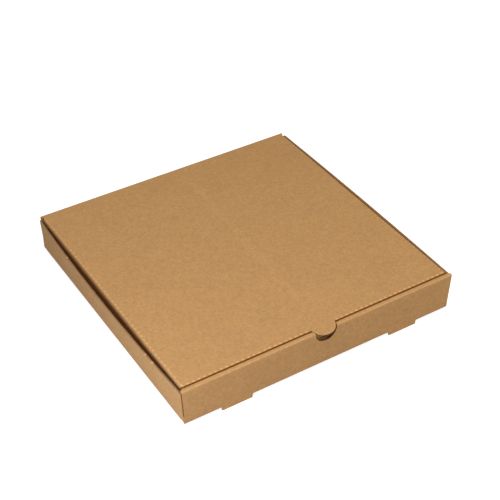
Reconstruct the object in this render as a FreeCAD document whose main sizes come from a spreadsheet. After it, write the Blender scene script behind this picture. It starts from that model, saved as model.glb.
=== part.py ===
"""Flat square pizza box, folded from one die-cut sheet of corrugated board.

Two pieces: the tray (base, walls, roll-over front, feet, corner flaps) and the lid, which turns on the
rear crease and tucks its side and front flaps inside the walls.
Frame: the origin is the middle of the base's underside, +X is right, +Y is back and +Z is up.
Lengths are in millimetres and angles in degrees.
"""
import FreeCAD, Part
import math
import os

import Sketcher

doc = FreeCAD.newDocument("pizza_box")

# Driving dimensions
SIZES = (
    ("board", 1.5, "thickness of the corrugated board"),
    ("fold_play", 0.1, "gap between layers that lie face to face"),
    ("box_width", 310, "left to right, over the base creases"),
    ("box_depth", 310, "front to back, over the front and rear walls"),
    ("wall_height", 42.7, "underside of the base to the top of the front saddle and of the lid"),
    ("base_bend", 1.7, "outer radius of the creases round the base"),
    ("saddle_bend", 1.7, "outer radius of the saddle's two folds"),
    ("corner_bend", 1.8, "outer radius of the upright corner creases"),
    ("lid_bend", 1.7, "outer radius of the lid's creases"),
    ("panel_setback", 0.3, "front and rear panels' cut ends, inside the base creases"),
    ("saddle_ear", 1.8, "saddle's cut ends, outside the base creases"),
    ("inner_setback", 1, "inner front panel's cut ends, inside the side walls"),
    ("side_drop", 3.5, "side walls' cut tops, below the saddle"),
    ("lean_left", 2, "how far the left wall's top stands outside its base crease"),
    ("lean_right", 3.1, "how far the right wall's top stands outside its base crease"),
    ("bow_left", 3.8, "further outward bow of the left wall's top, at its middle"),
    ("bow_right", 1.5, "further outward bow of the right wall's top, at its middle"),
    ("front_corner_flap", 38, "length of the corner flaps shut inside the front"),
    ("rear_corner_flap", 45, "length of the corner flaps inside the rear wall"),
    ("foot_width", 34.5, "width of a foot where it leaves the front panel"),
    ("foot_spacing", 195.2, "left foot's middle to right foot's middle"),
    ("foot_drop", 3.8, "how far the feet reach below the base"),
    ("foot_slant", 0.7, "how far each foot's ends draw in towards its tip"),
    ("lock_play", 0.5, "gap round the inner panel's tabs in the base slots"),
    ("lock_drop", 1, "how far the inner panel's tabs reach below the base"),
    ("thumb_offset", 2.3, "thumb tab and notch, right of the middle"),
    ("notch_radius", 12.3, "round bottom of the thumb notch"),
    ("notch_depth", 14.5, "bottom of the thumb notch, below the saddle"),
    ("tab_radius", 13.4, "round end of the thumb tab"),
    ("tab_setback", 2.6, "centre of the tab's round end, behind the lid's front edge"),
    ("tab_play", 0.4, "gap round the thumb tab in the saddle"),
    ("lid_front_gap", 0.7, "saddle to the lid's front flap"),
    ("lid_side_gap", 1.6, "base crease line to the lid's side edge"),
    ("rear_strip", 3.5, "depth of the lid's full-width strip along the rear crease"),
    ("front_flap", 33, "height of the lid's front tuck flap, below its crease"),
    ("front_flap_lean", 4.5, "how far that flap leans into the box, degrees"),
    ("side_flap", 34, "height of the lid's side tuck flaps, below their creases"),
    ("side_flap_lean", 2, "how far those flaps lean into the box, degrees"),
    ("side_flap_front", 2.4, "lid's front edge to the side flaps' front ends, at the crease"),
    ("side_flap_rear", 6, "rear wall's face to the side flaps' rear ends, at the crease"),
    ("side_flap_taper", 4, "how far each end of a side flap draws in towards its free edge"),
)

sheet = doc.addObject("Spreadsheet::Sheet", "sizes")
for row, (alias, size, meaning) in enumerate(SIZES, start=1):
    sheet.set(f"A{row}", alias)
    sheet.set(f"B{row}", str(size))
    sheet.setAlias(f"B{row}", alias)
    sheet.set(f"C{row}", meaning)
doc.recompute()

# Named places, worked out from the sheet
BOARD = "sizes.board"
TOP = "sizes.wall_height"
FRONT = "(-sizes.box_depth / 2)"
REAR = "(sizes.box_depth / 2)"
LAYER = "(sizes.board + sizes.fold_play)"
STACK = "(3 * sizes.board + 2 * sizes.fold_play)"
FLOOR_TOP = f"({BOARD} + sizes.fold_play)"
INNER_FACE = f"({FRONT} + {STACK})"
LID_FRONT = f"({INNER_FACE} + sizes.lid_front_gap)"
LID_UNDER = f"({TOP} - {BOARD})"
HINGE_Y = f"({REAR} - {BOARD} / 2)"
LID_HALF = "(sizes.box_width / 2 - sizes.lid_side_gap)"
SIDE_TOP = f"({TOP} - sizes.side_drop)"
PANEL_WIDTH = "(sizes.box_width - 2 * sizes.panel_setback)"
SADDLE_HALF = "(sizes.box_width / 2 + sizes.saddle_ear)"
INNER_WIDTH = f"(sizes.box_width - 2 * ({BOARD} + sizes.inner_setback))"
TAB_Y = f"({LID_FRONT} + sizes.tab_setback)"
PAST = 1

LEFT = -1
RIGHT = 1

# How a sketch counts the points of a line, an arc or a circle
START, END, CENTRE = range(1, 4)


def number(expression):
    """The value of an expression on the sheet."""
    return float(sheet.evalExpression(expression))


def origin_plane(body, role):
    """One of a body's own three planes, by its role."""
    return next(item for item in body.Origin.OriginFeatures if item.Role == role)


def new_sketch(body, name, plane, offset):
    """An empty sketch on a body's plane, moved along that plane's normal."""
    sketch = body.newObject("Sketcher::SketchObject", name)
    sketch.AttachmentSupport = [(origin_plane(body, plane), "")]
    sketch.MapMode = "FlatFace"
    sketch.setExpression(".AttachmentOffset.Base.z", offset)
    return sketch


def bind(sketch, kind, geometry, point, expression):
    """Tie one coordinate of a point in a sketch, or a radius, to an expression."""
    place = [geometry] if point is None else [geometry, point]
    index = sketch.addConstraint(Sketcher.Constraint(kind, *place, number(expression)))
    sketch.setExpression(f"Constraints[{index}]", expression)


def arc_centre(start, end, axis, known):
    """Centre of an arc, from its two ends and one coordinate of the centre."""
    other = 1 - axis
    gap = (end[0] ** 2 + end[1] ** 2 - start[0] ** 2 - start[1] ** 2) / 2
    centre = [0.0, 0.0]
    centre[axis] = known
    centre[other] = (gap - known * (end[axis] - start[axis])) / (end[other] - start[other])
    return centre


def arc_between(start, end, centre, turn):
    """An arc of a circle; turn is +1 where it runs anticlockwise from start to end."""
    if turn < 0:
        start, end = end, start
    radius = math.dist(start, centre)
    angles = [math.atan2(point[1] - centre[1], point[0] - centre[0]) for point in (start, end)]
    circle = Part.Circle(FreeCAD.Vector(*centre, 0), FreeCAD.Vector(0, 0, 1), radius)
    return Part.ArcOfCircle(circle, angles[0], angles[1])


def outline(body, name, plane, corners, offset="0 mm"):
    """A closed outline whose corners, and centres of arcs, are tied to the sheet.

    A corner is (across, up), and the edge to the next corner is straight. A corner
    (across, up, axis, place, turn) starts an arc whose centre has that place along axis 0 or 1.
    """
    sketch = new_sketch(body, name, plane, offset)
    points = [(number(corner[0]), number(corner[1])) for corner in corners]
    shapes = []
    for corner, start, end in zip(corners, points, points[1:] + points[:1]):
        if len(corner) == 2:
            shapes.append(Part.LineSegment(FreeCAD.Vector(*start, 0), FreeCAD.Vector(*end, 0)))
        else:
            axis, place, turn = corner[2:]
            centre = arc_centre(start, end, axis, number(place))
            shapes.append(arc_between(start, end, centre, turn))
    sketch.addGeometry(shapes, False)
    for index, corner in enumerate(corners):
        following = (index + 1) % len(corners)
        backwards = len(corner) > 2 and corner[4] < 0
        next_backwards = len(corners[following]) > 2 and corners[following][4] < 0
        leave = START if backwards else END
        enter = END if next_backwards else START
        sketch.addConstraint(Sketcher.Constraint("Coincident", index, leave, following, enter))
    for index, corner in enumerate(corners):
        backwards = len(corner) > 2 and corner[4] < 0
        start = END if backwards else START
        bind(sketch, "DistanceX", index, start, corner[0])
        bind(sketch, "DistanceY", index, start, corner[1])
        if len(corner) > 2:
            bind(sketch, ("DistanceX", "DistanceY")[corner[2]], index, CENTRE, corner[3])
    return sketch


def disc(body, name, plane, centre, radius, offset):
    """A circle whose centre and radius are tied to the sheet."""
    sketch = new_sketch(body, name, plane, offset)
    place = FreeCAD.Vector(number(centre[0]), number(centre[1]), 0)
    sketch.addGeometry(Part.Circle(place, FreeCAD.Vector(0, 0, 1), number(radius)), False)
    bind(sketch, "DistanceX", 0, CENTRE, centre[0])
    bind(sketch, "DistanceY", 0, CENTRE, centre[1])
    bind(sketch, "Radius", 0, None, radius)
    return sketch


def rectangle(low_across, low_up, high_across, high_up):
    """The four corners of an upright rectangle, anticlockwise."""
    return (
        (low_across, low_up),
        (high_across, low_up),
        (high_across, high_up),
        (low_across, high_up),
    )


def extrude(body, kind, sketch, length, side="One side", backwards=False):
    """Pad or pocket a sketch by a length from the sheet."""
    feature = body.newObject(f"PartDesign::{kind}", f"{sketch.Name}_{kind.lower()}")
    feature.Profile = sketch
    feature.SideType = side
    feature.Reversed = backwards
    feature.setExpression("Length", length)
    doc.recompute()
    return feature


def pad(body, sketch, length, side="One side", backwards=False):
    """Add board along the sketch's normal."""
    return extrude(body, "Pad", sketch, length, side, backwards)


def pocket(body, sketch, length, side="One side", backwards=False):
    """Cut board away, and make sure that something was cut."""
    before = body.Shape.Volume
    feature = extrude(body, "Pocket", sketch, length, side, backwards)
    if feature.Shape.Volume >= before:
        raise RuntimeError(f"{feature.Name} cuts nothing")
    return feature


def loft(body, name, bottom, top):
    """Straight board between a lower and an upper outline."""
    feature = body.newObject("PartDesign::AdditiveLoft", name)
    feature.Profile = bottom
    feature.Sections = [top]
    feature.Ruled = True
    doc.recompute()
    return feature


def bent_edge(crease, wall, end, direction):
    """Corners of one board's section: a base crease and the wall that rises from it.

    crease is where the flat base stops, wall the outer face, end the cut top, and direction is +1
    where the wall lies on the positive side.
    """
    inside = f"({wall} - ({direction}) * {BOARD})"
    return (
        (crease, "0", 0, crease, direction),
        (wall, "sizes.base_bend"),
        (wall, end),
        (inside, end),
        (inside, "sizes.base_bend", 0, crease, -direction),
        (crease, BOARD),
    )


def build_front(body):
    """Outer front panel, from its base crease up and over the saddle, whose ends stand out as ears."""
    outer = FRONT
    inner = f"({FRONT} + {BOARD})"
    foot_of_bend = f"({FRONT} + sizes.base_bend)"
    bend_start = f"({FRONT} + sizes.saddle_bend)"
    saddle_end = f"({INNER_FACE} - sizes.saddle_bend)"
    bend_height = f"({TOP} - sizes.saddle_bend)"
    section = (
        (foot_of_bend, "0", 0, foot_of_bend, -1),
        (outer, "sizes.base_bend"),
        (outer, bend_height, 0, bend_start, -1),
        (bend_start, TOP),
        (saddle_end, TOP),
        (saddle_end, LID_UNDER),
        (bend_start, LID_UNDER, 0, bend_start, 1),
        (inner, bend_height),
        (inner, "sizes.base_bend", 0, foot_of_bend, 1),
        (foot_of_bend, BOARD),
    )
    sketch = outline(body, "front_panel", "YZ_Plane", section)
    pad(body, sketch, f"2 * {SADDLE_HALF}", "Symmetric")
    for name, side in (("left", LEFT), ("right", RIGHT)):
        edge = f"({side} * {PANEL_WIDTH} / 2)"
        beyond = f"({side} * ({SADDLE_HALF} + {PAST}))"
        end = rectangle(edge, f"-{PAST}", beyond, bend_height)
        cut = outline(body, f"{name}_panel_end", "XZ_Plane", end, f"-({FRONT} - {PAST})")
        pocket(body, cut, f"(sizes.base_bend + 2 * {PAST})")


def build_base(body):
    """Flat base between the four base creases."""
    half_width = "(sizes.box_width / 2 - sizes.base_bend)"
    half_depth = "(sizes.box_depth / 2 - sizes.base_bend)"
    corners = rectangle(f"-{half_width}", f"-{half_depth}", half_width, half_depth)
    pad(body, outline(body, "base", "XY_Plane", corners), BOARD)


def build_rear(body):
    """Rear wall, which stops just under the lid."""
    crease = f"({REAR} - sizes.base_bend)"
    top = f"({LID_UNDER} - sizes.fold_play)"
    section = bent_edge(crease, REAR, top, 1)
    pad(body, outline(body, "rear_wall", "YZ_Plane", section), PANEL_WIDTH, "Symmetric")


def build_side_crease(body, name, side):
    """Rounded base crease under a side wall."""
    crease = f"({side} * (sizes.box_width / 2 - sizes.base_bend))"
    wall = f"({side} * sizes.box_width / 2)"
    inside = f"({side} * (sizes.box_width / 2 - {BOARD}))"
    section = (
        (crease, "0", 0, crease, side),
        (wall, "sizes.base_bend"),
        (inside, "sizes.base_bend", 0, crease, -side),
        (crease, BOARD),
    )
    length = "(sizes.box_depth - 2 * sizes.base_bend)"
    pad(body, outline(body, f"{name}_crease", "XZ_Plane", section), length, "Symmetric")


def wall_outline(body, name, side, height, lean, bow):
    """Plan of a side wall with its two corner flaps, at one height.

    lean is how far its outer face stands outside the base crease, and bow how much further its
    middle does.
    """
    outer = f"({side} * (sizes.box_width / 2 + {lean}))"
    inner = f"({side} * (sizes.box_width / 2 + {lean} - {BOARD}))"
    bend = f"({side} * (sizes.box_width / 2 + {lean} - sizes.corner_bend))"
    front_tip = f"({side} * (sizes.box_width / 2 - sizes.front_corner_flap))"
    rear_tip = f"({side} * (sizes.box_width / 2 - sizes.rear_corner_flap))"
    front_face = f"({FRONT} + {LAYER})"
    front_bend = f"({front_face} + sizes.corner_bend)"
    rear_face = f"({REAR} - {LAYER})"
    rear_bend = f"({rear_face} - sizes.corner_bend)"
    straight = f"({rear_bend} - {front_bend})"
    outer_run = (outer, front_bend)
    inner_run = (inner, rear_bend)
    if bow:
        radius = f"(({straight} ^ 2 / 4 + {bow} ^ 2) / (2 * {bow}))"
        outer_run += (0, f"({outer} + {side} * ({bow} - {radius}))", side)
        inner_run += (0, f"({inner} + {side} * ({bow} - {radius}))", -side)
    plan = (
        (front_tip, front_face),
        (bend, front_face, 0, bend, side),
        outer_run,
        (outer, rear_bend, 0, bend, side),
        (bend, rear_face),
        (rear_tip, rear_face),
        (rear_tip, f"({rear_face} - {BOARD})"),
        (bend, f"({rear_face} - {BOARD})", 0, bend, -side),
        inner_run,
        (inner, front_bend, 0, bend, -side),
        (bend, f"({front_face} + {BOARD})"),
        (front_tip, f"({front_face} + {BOARD})"),
    )
    return outline(body, name, "XY_Plane", plan, height)


def build_side_wall(body, name, side, lean, bow):
    """Side wall, straight along its crease and bowed outwards at its cut top."""
    bottom = wall_outline(body, f"{name}_foot", side, "sizes.base_bend", "0", None)
    top = wall_outline(body, f"{name}_top", side, SIDE_TOP, lean, bow)
    loft(body, name, bottom, top)


def build_slots_and_feet(body):
    """Feet cut out of the base with the front panel, and the slots that they leave."""
    foot_back = f"({FRONT} + {BOARD})"
    slot_back = f"({INNER_FACE} + sizes.lock_play)"
    for name, side in (("left", LEFT), ("right", RIGHT)):
        middle = f"({side} * sizes.foot_spacing / 2)"
        half = "(sizes.foot_width / 2)"
        low, high = f"({middle} - {half})", f"({middle} + {half})"
        hole = rectangle(low, f"({FRONT} - {PAST})", high, slot_back)
        slot = outline(body, f"{name}_slot", "XY_Plane", hole)
        pocket(body, slot, "sizes.base_bend", backwards=True)
        foot = (
            (f"({low} + sizes.foot_slant)", "-sizes.foot_drop"),
            (f"({high} - sizes.foot_slant)", "-sizes.foot_drop"),
            (high, "sizes.base_bend"),
            (low, "sizes.base_bend"),
        )
        panel = outline(body, f"{name}_foot", "XZ_Plane", foot, f"-{foot_back}")
        pad(body, panel, BOARD)


def build_inner_panel(body):
    """Inner front panel, rolled over the saddle, with its tabs down through the base slots."""
    saddle_end = f"({INNER_FACE} - sizes.saddle_bend)"
    hidden = f"({INNER_FACE} - {BOARD})"
    bend_height = f"({TOP} - sizes.saddle_bend)"
    section = (
        (saddle_end, LID_UNDER),
        (saddle_end, TOP, 0, saddle_end, -1),
        (INNER_FACE, bend_height),
        (INNER_FACE, FLOOR_TOP),
        (hidden, FLOOR_TOP),
        (hidden, bend_height, 0, saddle_end, 1),
    )
    pad(body, outline(body, "inner_panel", "YZ_Plane", section), INNER_WIDTH, "Symmetric")
    for name, side in (("left", LEFT), ("right", RIGHT)):
        middle = f"({side} * sizes.foot_spacing / 2)"
        half = "(sizes.foot_width / 2 - sizes.lock_play)"
        tab = rectangle(f"({middle} - {half})", "-sizes.lock_drop", f"({middle} + {half})", FLOOR_TOP)
        pad(body, outline(body, f"{name}_lock", "XZ_Plane", tab, f"-{INNER_FACE}"), BOARD)


def cut_thumb_notch(body):
    """Round notch down through both front panels, and the tab's seat in the saddle."""
    middle = "sizes.thumb_offset"
    low, high = f"({middle} - sizes.notch_radius)", f"({middle} + sizes.notch_radius)"
    centre = f"({TOP} - sizes.notch_depth + sizes.notch_radius)"
    above = f"({TOP} + {PAST})"
    shape = (
        (low, centre, 1, centre, 1),
        (high, centre),
        (high, above),
        (low, above),
    )
    notch = outline(body, "thumb_notch", "XZ_Plane", shape, f"-({FRONT} - {PAST})")
    pocket(body, notch, f"({STACK} + 2 * {PAST})")
    reach = "(sizes.tab_radius + sizes.tab_play)"
    seat = disc(body, "tab_seat", "XY_Plane", (middle, TAB_Y), reach, TOP)
    pocket(body, seat, f"({BOARD} + sizes.tab_play)")


def build_tray():
    """The lower part of the box."""
    body = doc.addObject("PartDesign::Body", "tray")
    doc.recompute()
    build_front(body)
    build_base(body)
    build_rear(body)
    build_side_crease(body, "left", LEFT)
    build_side_crease(body, "right", RIGHT)
    build_slots_and_feet(body)
    build_inner_panel(body)
    build_side_wall(body, "left_wall", LEFT, "sizes.lean_left", "sizes.bow_left")
    build_side_wall(body, "right_wall", RIGHT, "sizes.lean_right", "sizes.bow_right")
    cut_thumb_notch(body)
    return body


def flap_section(edge, direction, length, lean):
    """Corners of a lid flap's section: the lid's rounded crease and the flap hanging from it.

    edge is the lid's outermost line, and direction is +1 where it lies on the positive side.
    """
    radius, inside = "sizes.lid_bend", f"(sizes.lid_bend - {BOARD})"
    crease = f"({edge} - ({direction}) * {radius})"
    level = f"({TOP} - {radius})"
    out, down = f"({direction}) * cos({lean})", f"sin({lean})"
    outer = (f"({crease} + {out} * {radius})", f"({level} - {down} * {radius})")
    inner = (f"({crease} + {out} * {inside})", f"({level} - {down} * {inside})")
    reach_across = f"({direction}) * sin({lean}) * {length}"
    reach_down = f"cos({lean}) * {length}"
    return (
        (crease, TOP, 0, crease, -direction),
        outer,
        (f"({outer[0]} - {reach_across})", f"({outer[1]} - {reach_down})"),
        (f"({inner[0]} - {reach_across})", f"({inner[1]} - {reach_down})"),
        (*inner, 0, crease, direction),
        (crease, LID_UNDER),
    )


def build_lid_panel(body):
    """Flat top of the lid, with a full-width round where it turns on the rear crease."""
    panel_width = f"(2 * ({LID_HALF} - sizes.lid_bend))"
    panel_front = f"({LID_FRONT} + sizes.lid_bend)"
    strip_front = f"({REAR} - sizes.rear_strip)"
    for name, front, width in (
        ("lid_panel", panel_front, panel_width),
        ("rear_strip", strip_front, PANEL_WIDTH),
    ):
        section = (
            (front, LID_UNDER),
            (HINGE_Y, LID_UNDER, 0, HINGE_Y, 1),
            (HINGE_Y, TOP),
            (front, TOP),
        )
        pad(body, outline(body, name, "YZ_Plane", section), width, "Symmetric")


def build_side_flaps(body):
    """The lid's side tuck flaps, with slanted ends."""
    front = f"({LID_FRONT} + sizes.side_flap_front)"
    for name, side in (("left", LEFT), ("right", RIGHT)):
        edge = f"({side} * {LID_HALF})"
        section = flap_section(edge, side, "sizes.side_flap", "sizes.side_flap_lean")
        sketch = outline(body, f"{name}_side_flap", "XZ_Plane", section, f"-{front}")
        pad(body, sketch, f"({HINGE_Y} - {front})", backwards=True)
    high = f"({TOP} - sizes.lid_bend)"
    low = f"({high} - sizes.side_flap - sizes.lid_bend)"
    rear = f"({REAR} - sizes.side_flap_rear)"
    front_end = (
        (f"({front} - {PAST})", low),
        (f"({front} + sizes.side_flap_taper)", low),
        (front, high),
        (f"({front} - {PAST})", high),
    )
    rear_end = (
        (f"({rear} - sizes.side_flap_taper)", low),
        (f"({REAR} + {PAST})", low),
        (f"({REAR} + {PAST})", LID_UNDER),
        (rear, LID_UNDER),
    )
    across = f"(sizes.box_width + 2 * {PAST})"
    for name, shape in (("front", front_end), ("rear", rear_end)):
        sketch = outline(body, f"side_flap_{name}_ends", "YZ_Plane", shape)
        pocket(body, sketch, across, "Symmetric")


def build_front_flap(body):
    """The lid's front tuck flap, the hole that the thumb tab leaves in it, and the tab."""
    section = flap_section(LID_FRONT, LEFT, "sizes.front_flap", "sizes.front_flap_lean")
    width = f"(2 * ({LID_HALF} - sizes.lid_bend))"
    pad(body, outline(body, "front_flap", "YZ_Plane", section), width, "Symmetric")
    middle = "sizes.thumb_offset"
    reach = "(sizes.tab_radius + sizes.tab_play / 2)"
    centre = f"({TOP} + sizes.tab_setback - sizes.lid_bend / 2)"
    half = f"sqrt({reach} ^ 2 - ({centre} - {LID_UNDER}) ^ 2)"
    hole = (
        (f"({middle} - {half})", LID_UNDER, 1, centre, 1),
        (f"({middle} + {half})", LID_UNDER),
    )
    behind = f"-({LID_FRONT} - {PAST})"
    sketch = outline(body, "tab_hole", "XZ_Plane", hole, behind)
    pocket(body, sketch, f"(sizes.lid_bend + {BOARD} + 2 * {PAST})")
    tab = disc(body, "thumb_tab", "XY_Plane", (middle, TAB_Y), "sizes.tab_radius", LID_UNDER)
    pad(body, tab, BOARD)


def build_lid():
    """The upper part of the box."""
    body = doc.addObject("PartDesign::Body", "lid")
    doc.recompute()
    build_lid_panel(body)
    build_side_flaps(body)
    build_front_flap(body)
    return body


pieces = [build_tray(), build_lid()]
doc.recompute()

for item in doc.Objects:
    if "Invalid" in item.State or "Error" in item.State:
        raise RuntimeError(f"{item.Name} failed: {item.State}")

os.makedirs("parts", exist_ok=True)
for piece in pieces:
    if piece.Shape.isNull() or not piece.Shape.isValid():
        raise RuntimeError(f"{piece.Label} has no valid shape")
    piece.Shape.exportStep(f"parts/{piece.Label}.step")
    print(piece.Label, len(piece.Shape.Solids), "solid, volume", round(piece.Shape.Volume), "mm3")
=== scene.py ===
"""Corrugated pizza box, shut: the folded board of its tray, its lid and the rear crease between them.

Each sheet is cut as a flat blank, its cut edges are opened to show the flutes, and then it is folded.
A place on a blank is (p, q), with p to the right and q to the rear, and a depth below its outer face.
Lengths are in millimetres, but metres for the camera, the lamps and the floor's size.
"""
import math

import bmesh
import bpy
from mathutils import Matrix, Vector
from mathutils.geometry import delaunay_2d_cdt


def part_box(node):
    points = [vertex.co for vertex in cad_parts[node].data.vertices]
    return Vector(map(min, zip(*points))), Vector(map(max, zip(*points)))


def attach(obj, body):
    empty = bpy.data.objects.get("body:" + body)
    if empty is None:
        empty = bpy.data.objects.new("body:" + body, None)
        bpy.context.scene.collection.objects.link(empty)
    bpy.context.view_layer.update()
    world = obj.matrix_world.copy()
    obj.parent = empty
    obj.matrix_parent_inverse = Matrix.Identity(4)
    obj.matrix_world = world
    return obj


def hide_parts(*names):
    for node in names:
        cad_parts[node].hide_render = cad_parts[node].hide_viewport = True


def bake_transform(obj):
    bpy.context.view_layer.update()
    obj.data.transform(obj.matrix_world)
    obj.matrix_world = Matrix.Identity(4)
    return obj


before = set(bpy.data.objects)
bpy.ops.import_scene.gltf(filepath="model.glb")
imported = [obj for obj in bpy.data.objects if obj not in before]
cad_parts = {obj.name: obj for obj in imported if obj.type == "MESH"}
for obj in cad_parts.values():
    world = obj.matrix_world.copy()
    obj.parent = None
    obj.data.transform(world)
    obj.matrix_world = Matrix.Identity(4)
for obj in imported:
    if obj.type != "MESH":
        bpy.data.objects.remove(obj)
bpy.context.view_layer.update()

MM = 0.001
tray_low, tray_high = [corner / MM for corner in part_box("tray")]
lid_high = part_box("lid")[1] / MM

# Board: two liners with a fluted medium between them, and the play between folded layers
BOARD = 1.5
FOLD_PLAY = 0.1
LINER = 0.22
MEDIUM = 0.2
MEDIUM_GAP = 0.02
FLUTE_PITCH = 3.4
FLUTE_DEPTH = 1.6

# Radii of the creases' outer faces, and the flat run on each side of the rear crease
BASE_BEND = 1.7
SADDLE_BEND = 1.7
SADDLE_BACK_BEND = 1.0
CORNER_BEND = 1.8
LID_BEND = 1.6
LID_FRONT_BEND = 1.1
HINGE_BEND = 1.6
HINGE_RUN = 2.0

# Tray: its limits from the frame's boxes, and how far its panels stay inside or reach past them
FRONT = tray_low.y
REAR = tray_high.y
TOP = tray_high.z
FOOT_DROP = -tray_low.z
PANEL_HALF = lid_high.x
PANEL_INSET = 0.3
PANEL_FLARE = 1.7
SADDLE_OVERHANG = 1.8
EAR_DROP = 2.2
INNER_PLAY = 1
LID_INSET = 1.6
WALL_DROP = 3.5
HALF_WIDTH = PANEL_HALF + PANEL_INSET
PANEL_TOP_HALF = PANEL_HALF + PANEL_FLARE
SADDLE_HALF = HALF_WIDTH + SADDLE_OVERHANG
INNER_HALF = HALF_WIDTH - BOARD - INNER_PLAY
LID_HALF = HALF_WIDTH - LID_INSET
WALL_TOP = TOP - WALL_DROP
STACK = 3 * BOARD + 2 * FOLD_PLAY
FRONT_CORNER_FLAP = 38
REAR_CORNER_FLAP = 45

# How far the left (-1) and right (1) side walls lean outwards, and bow on top of that
LEAN = {-1: 2.0, 1: 3.1}
BOW = {-1: -tray_low.x - HALF_WIDTH - LEAN[-1], 1: tray_high.x - HALF_WIDTH - LEAN[1]}

# Feet, locking tabs and thumb notch
FOOT_MIDDLE = 97.6
FOOT_HALF = 17.25
FOOT_SLANT = 0.7
FOOT_PLAY = 0.2
FOOT_GAP = 0.4
LOCK_HALF = 16.75
LOCK_SLANT = 0.8
LOCK_DROP = 1
THUMB_X = 2.3
NOTCH_RADIUS = 12.3
NOTCH_DEPTH = 14.5
SEAT_PLAY = 0.2
SEAT_SLANT = 0.8

# Lid
TAB_RADIUS = 13.4
TAB_KERF = 0.25
TAB_SETBACK = 2.6
LID_FRONT_PLAY = 0.7
LID_FRONT = FRONT + STACK + LID_FRONT_PLAY
TAB_Y = LID_FRONT + TAB_SETBACK
FRONT_FLAP = 33
FRONT_FLAP_LEAN = math.radians(4.5)
SIDE_FLAP = 34
SIDE_FLAP_LEAN = math.radians(2)
SIDE_FLAP_TAPER = 4
SIDE_FLAP_FRONT = 2.4
SIDE_FLAP_REAR = 6

# Dotted dents in the lid's creases: their middle and half width are shares of the crease's arc
DENT_PITCH = 5.9
DENT_DEPTH = 0.25
DENT_MIDDLE = 0.3
DENT_HALF = 0.55

# The two ends of the rubbed streak over the lid, and the nicks in the left wall as (place, length)
STREAK = ((14.8, 121.7), (3.8, -111.2))
NICKS = ((80.0, 1.6), (-90.0, 1.4), (-103.0, 2.0))

# How much lighter a mark makes the board; the notch's rim and the crease dots are painted highlights, the
# dots partly crease-rule marks
FOLD_RUB = 0.16
NOTCH_RIM_HIGHLIGHT = 0.16
TAB_RIM = 0.2
TAB_CUT = 0.35
SIDE_DOT_HIGHLIGHT = 0.4
FRONT_DOT_HIGHLIGHT = 0.5

# How much of the dark kraft is painted into each slit and gap as shade
BETWEEN_PANELS_SHADE = 0.8
FRONT_CORNER_SHADE = 0.85
BACK_FOLD_SHADE = 0.5
FRONT_SLIT_SHADE = 0.95
SIDE_SLIT_SHADE = 0.5
PANEL_END_SHADE = 0.9
NOTCH_SHADE = 0.75

# Colours, in 8-bit sRGB
KRAFT = (190, 147, 96)
WARM_SHIFT = (1, -2, -4)
# The dark kraft is painted shade, mixed into slits and gaps where shade falls
PAINTED_SHADE_KRAFT = (118, 64, 10)
CUT_EDGE = (200, 162, 116)

# How far apart two seeds' noise lies, in millimetres
SEED_SHIFT = (731.0, 457.0, 1.0)

# Where the flat panels end and their creases begin
QUARTER = math.pi / 2
SIDE_CREASE = HALF_WIDTH - BASE_BEND
END_CREASE = REAR - BASE_BEND
CORNER_CREASE = REAR - BOARD - FOLD_PLAY - CORNER_BEND
LID_SIDE_CREASE = LID_HALF - LID_BEND
LID_FRONT_CREASE = LID_FRONT + LID_FRONT_BEND
REAR_TOP = TOP - HINGE_BEND - HINGE_RUN
LID_REAR = REAR - HINGE_BEND - HINGE_RUN

# Folds as (length along the outer face, turn), from a flat panel's edge outwards
FRONT_FOLDS = (
    (BASE_BEND * QUARTER, QUARTER),
    (TOP - SADDLE_BEND - BASE_BEND, 0),
    (SADDLE_BEND * QUARTER, QUARTER),
    (STACK - SADDLE_BEND - SADDLE_BACK_BEND, 0),
    (SADDLE_BACK_BEND * QUARTER, QUARTER),
    (TOP - SADDLE_BACK_BEND - BOARD - FOLD_PLAY, 0),
)
BASE_ARC = FRONT_FOLDS[0][0]
SADDLE_START = sum(length for length, turn in FRONT_FOLDS[:2])
SADDLE_FLAT = sum(length for length, turn in FRONT_FOLDS[:3])
SADDLE_END = sum(length for length, turn in FRONT_FOLDS[:4])
INNER_START = sum(length for length, turn in FRONT_FOLDS[:5])
INNER_END = sum(length for length, turn in FRONT_FOLDS)
WALL_FOLDS = ((BASE_BEND * QUARTER, QUARTER),)
CORNER_ARC = CORNER_BEND * QUARTER
CORNER_FOLDS = ((CORNER_ARC, QUARTER),)
LID_FRONT_ARC = LID_FRONT_BEND * (QUARTER + FRONT_FLAP_LEAN)
LID_FRONT_FOLDS = ((LID_FRONT_ARC, QUARTER + FRONT_FLAP_LEAN),)
LID_SIDE_ARC = LID_BEND * (QUARTER + SIDE_FLAP_LEAN)
LID_SIDE_FOLDS = ((LID_SIDE_ARC, QUARTER + SIDE_FLAP_LEAN),)
LID_ARC = LID_BEND * QUARTER
HINGE_ARC = HINGE_BEND * QUARTER
HINGE_FOLDS = ((HINGE_RUN, 0), (HINGE_ARC, QUARTER))
HINGE_CREASE_END = HINGE_RUN + HINGE_ARC
HINGE_LENGTH = HINGE_RUN * 2 + HINGE_ARC

# Limits on the tray's blank: the side wall's foot and edge, the saddle's ears, the feet and the notch
WALL_FOOT = SIDE_CREASE + BASE_ARC
WALL_EDGE = WALL_FOOT + WALL_TOP - BASE_BEND
EAR_FOOT = SADDLE_START - EAR_DROP
FOOT_TIP = BASE_ARC - BASE_BEND - FOOT_DROP
NOTCH_Z = TOP - NOTCH_DEPTH + NOTCH_RADIUS
NOTCH_Q = -END_CREASE - BASE_ARC - (NOTCH_Z - BASE_BEND)

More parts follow.
